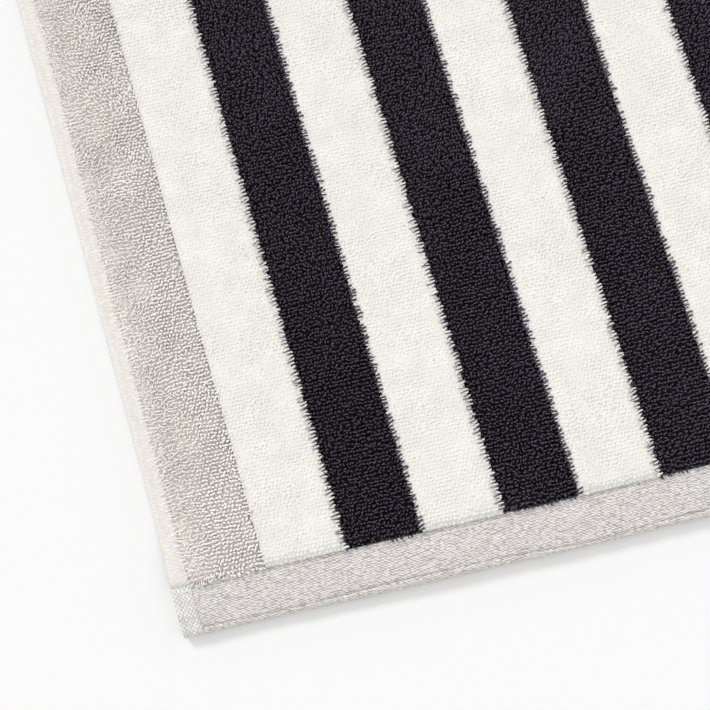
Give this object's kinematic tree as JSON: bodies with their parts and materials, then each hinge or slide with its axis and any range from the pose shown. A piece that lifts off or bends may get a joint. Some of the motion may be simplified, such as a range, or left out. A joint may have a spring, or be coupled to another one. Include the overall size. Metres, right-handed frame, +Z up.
{
  "type": "striped terry bath towel",
  "caption": "Flat-laid terry bath towel with lengthwise black and white pile stripes, greige borders, woven selvedges and folded end hems.",
  "frame": {"origin": "centre of the towel's footprint, on the surface it lies on", "axes": "+Z up out of the towel's face; +Y along the stripes, towards the far end hem; +X across the stripes"},
  "size_m": [0.762, 1.473, 0.007],
  "materials": {
    "pile_black": "charcoal black looped cotton pile",
    "pile_white": "soft white looped cotton pile",
    "pile_greige": "greige, longer looped cotton pile",
    "ground": "plain woven cotton ground",
    "selvedge": "smooth woven edge, fine cross ribs",
    "hem": "flat woven band, fine ribs along the hem",
    "thread": "twisted cotton sewing thread"
  },
  "bodies": {
    "root": {"greige_pile_left": "pile_greige", "white_pile_01": "pile_white", "black_pile_01": "pile_black", "white_pile_02": "pile_white", "black_pile_02": "pile_black", "white_pile_03": "pile_white", "black_pile_03": "pile_black", "white_pile_04": "pile_white", "black_pile_04": "pile_black", "white_pile_05": "pile_white", "black_pile_05": "pile_black", "white_pile_06": "pile_white", "black_pile_06": "pile_black", "white_pile_07": "pile_white", "black_pile_07": "pile_black", "white_pile_08": "pile_white", "black_pile_08": "pile_black", "white_pile_09": "pile_white", "black_pile_09": "pile_black", "white_pile_10": "pile_white", "black_pile_10": "pile_black", "white_pile_11": "pile_white", "greige_pile_right": "pile_greige", "ground_cloth": "ground", "selvedge_left": "selvedge", "selvedge_right": "selvedge", "end_hem_near": "hem", "end_hem_far": "hem", "hem_thread_near": "thread", "hem_thread_far": "thread"}
  },
  "joints": []
}
